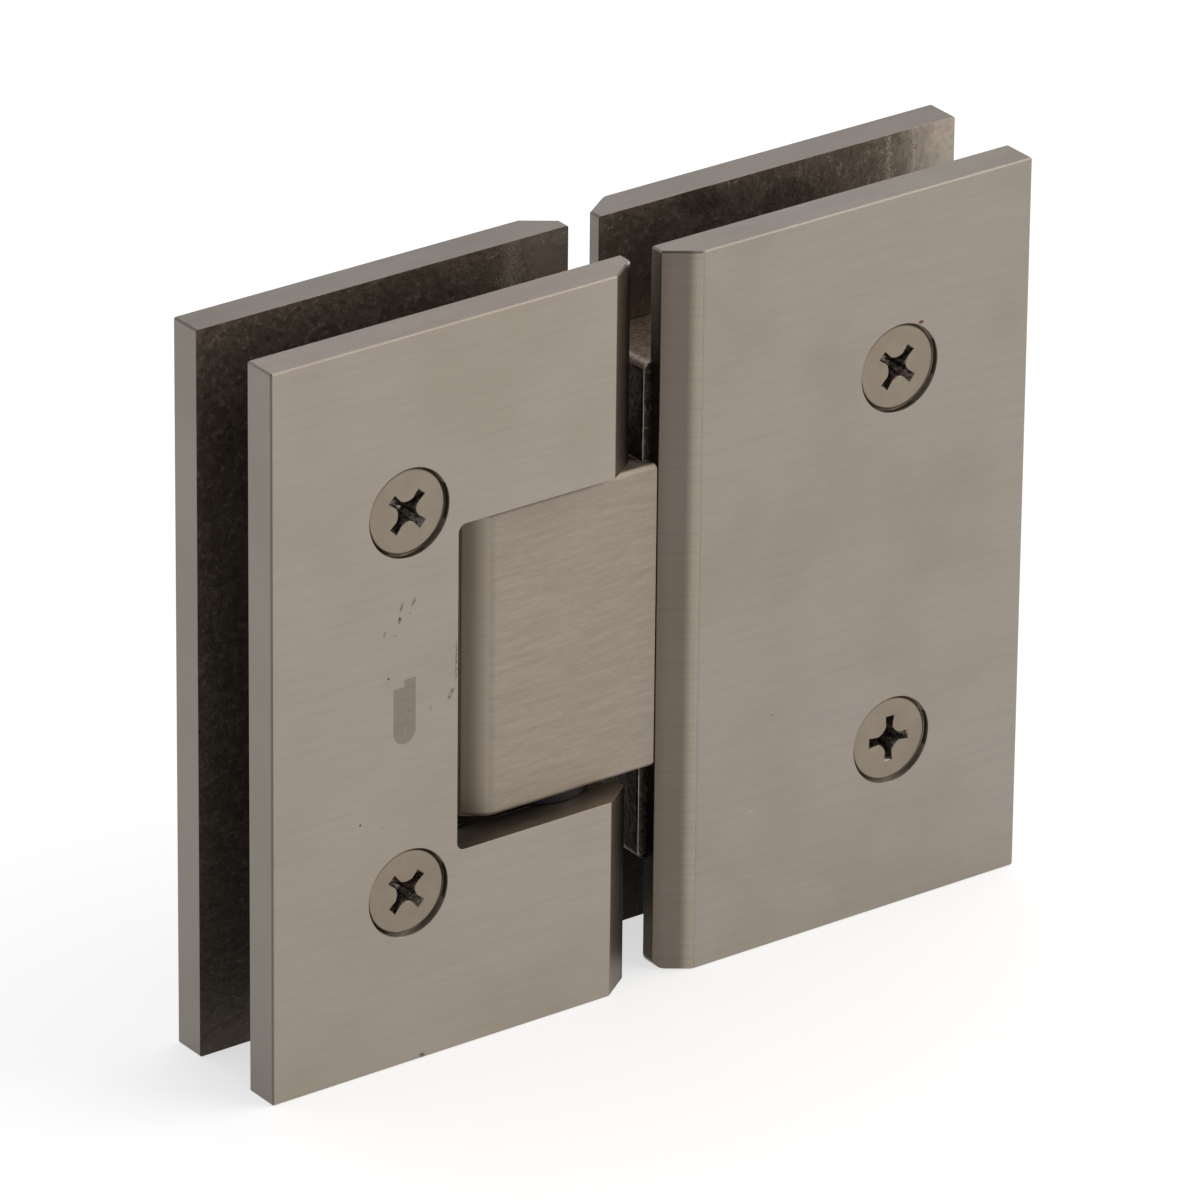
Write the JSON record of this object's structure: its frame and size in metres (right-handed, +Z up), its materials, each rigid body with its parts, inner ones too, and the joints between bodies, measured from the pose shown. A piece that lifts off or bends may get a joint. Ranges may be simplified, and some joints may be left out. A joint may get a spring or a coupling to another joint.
{
  "type": "shower door hinge",
  "caption": "Glass to glass shower hinge: two clamp leaves of bevelled plates joined by a knuckle block on a vertical pin, swinging both ways from flat.",
  "frame": {"origin": "middle of the gap between the two leaves, half way through the thickness, at mid height", "axes": "+X from the door leaf to the panel leaf, along the width; -Y out of the faces with the screw heads; +Z up, along the pivot pin"},
  "size_m": [0.105, 0.019, 0.09],
  "materials": {
    "nickel_plate": "brass, nickel plated and brushed along X",
    "nickel_screw": "nickel plated steel, satin",
    "steel": "stainless steel, turned",
    "spring_urethane": "cast polyurethane, amber",
    "bush_plastic": "black acetal"
  },
  "bodies": {
    "panel_leaf": {"panel_front_plate": "nickel_plate", "panel_back_plate": "nickel_plate", "hinge_block": "nickel_plate", "block_screw_upper": "steel", "block_screw_lower": "steel", "pivot_bush_upper": "bush_plastic", "pivot_bush_lower": "bush_plastic", "detent_spring_upper": "spring_urethane", "detent_spring_lower": "spring_urethane", "detent_adjuster_upper": "steel", "detent_adjuster_lower": "steel", "panel_clamp_screw_upper": "nickel_screw", "panel_clamp_screw_lower": "nickel_screw"},
    "door_leaf": {"door_front_plate": "nickel_plate", "door_back_plate": "nickel_plate", "pivot_pin": "steel", "pin_set_screw_upper": "steel", "pin_set_screw_lower": "steel", "door_clamp_screw_upper": "nickel_screw", "door_clamp_screw_lower": "nickel_screw"},
    "plunger_upper": {"detent_plunger_upper": "steel"},
    "plunger_lower": {"detent_plunger_lower": "steel"}
  },
  "joints": [
    {"name": "door_swing", "type": "hinge", "parent": "panel_leaf", "child": "door_leaf", "pos_m": [-0.01, 0, 0], "axis": [0, 0, 1], "range_deg": [-90, 90]},
    {"name": "plunger_press_upper", "type": "slide", "parent": "panel_leaf", "child": "plunger_upper", "axis": [1, 0, 0], "range_m": [0, 0.0006], "stiffness_N_per_m": 2000, "springref_m": -0.002, "deforming": ["detent_spring_upper"]},
    {"name": "plunger_press_lower", "type": "slide", "parent": "panel_leaf", "child": "plunger_lower", "axis": [1, 0, 0], "range_m": [0, 0.0006], "stiffness_N_per_m": 2000, "springref_m": -0.002, "deforming": ["detent_spring_lower"]}
  ],
  "couplings": [
    {"joint": "plunger_press_lower", "follows": "plunger_press_upper", "ratio": 1}
  ]
}
